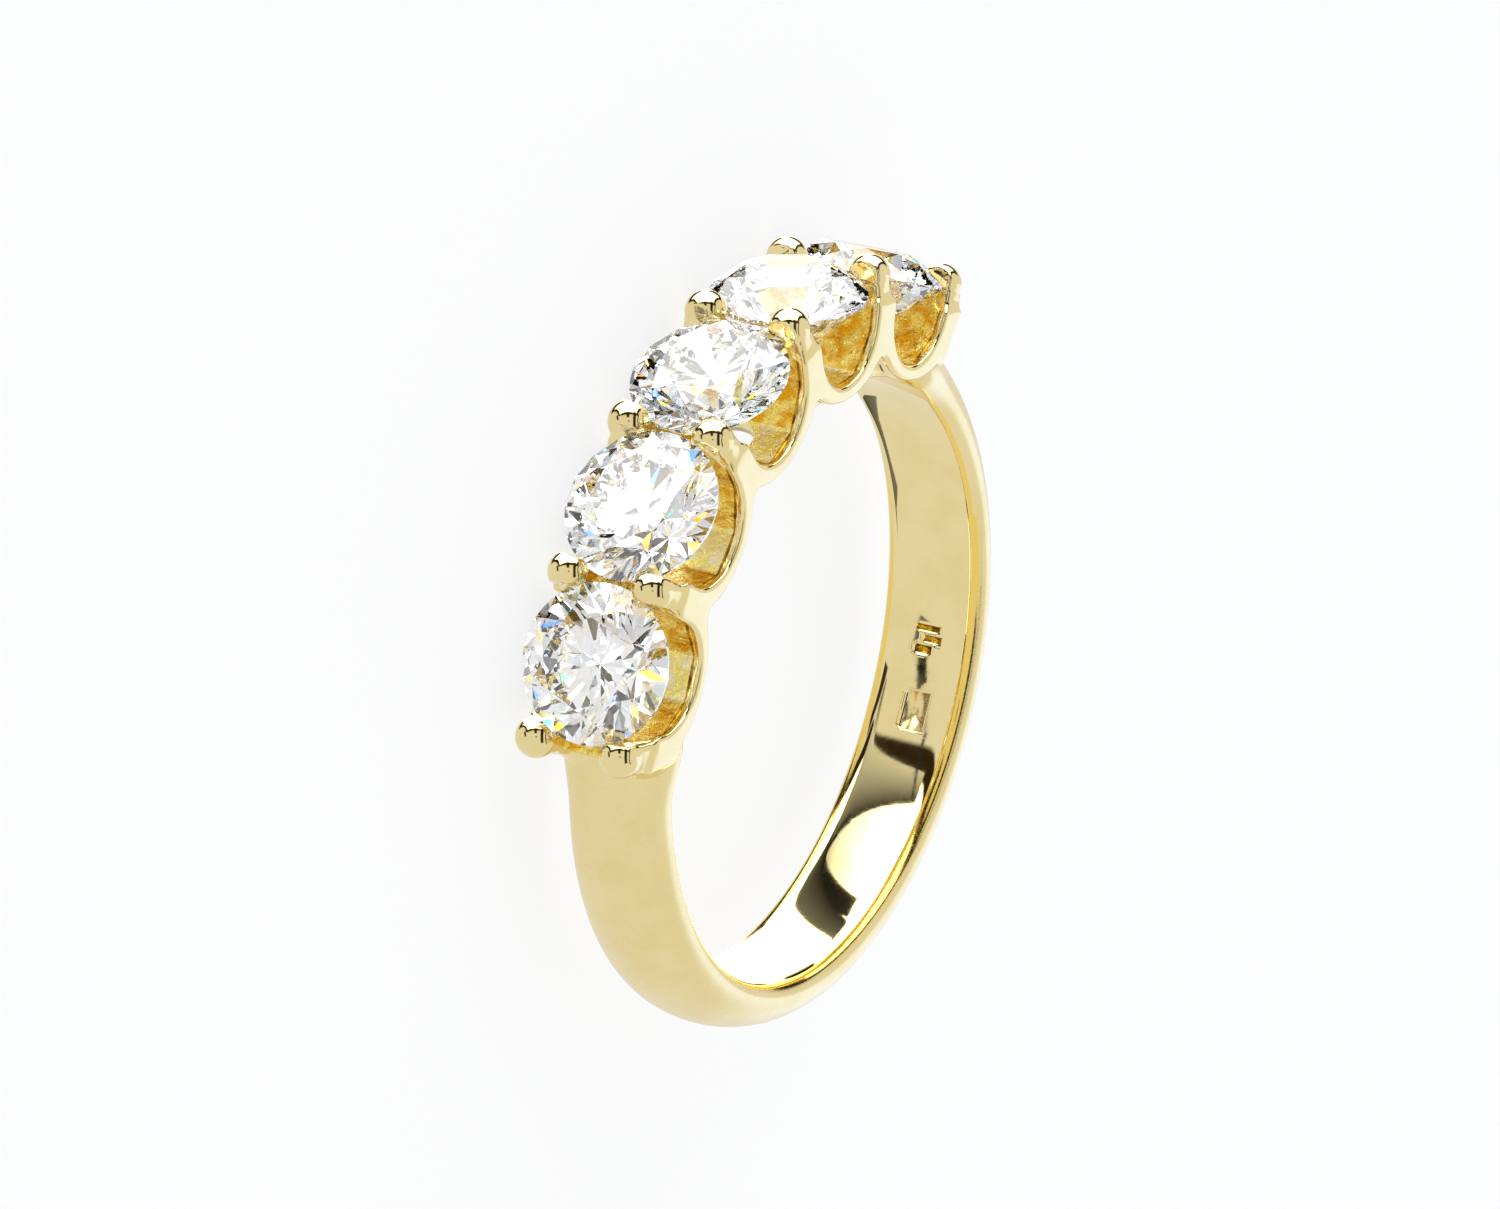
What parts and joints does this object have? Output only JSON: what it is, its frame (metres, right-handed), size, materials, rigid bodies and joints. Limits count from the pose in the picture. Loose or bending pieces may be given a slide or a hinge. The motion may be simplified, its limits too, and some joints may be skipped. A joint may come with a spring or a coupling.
{
  "type": "five stone ring",
  "caption": "Yellow gold finger ring with a curved row of round brilliant cut stones in shared claws over a scalloped open gallery, lying on its side.",
  "frame": {"origin": "centre of the finger bore, on the middle plane of the band", "axes": "+Z along the finger, upwards as the ring lies on its side; -Y out through the middle stone; +X towards stone_1"},
  "size_m": [0.0196, 0.0212, 0.0042],
  "materials": {
    "yellow_gold": "polished yellow gold, bright inside the band, satin outside, rough as cast inside the cups",
    "diamond": "clear and colourless, polished facets"
  },
  "bodies": {
    "root": {"ring_body": "yellow_gold", "stone_1": "diamond", "stone_2": "diamond", "stone_3": "diamond", "stone_4": "diamond", "stone_5": "diamond"}
  },
  "joints": []
}
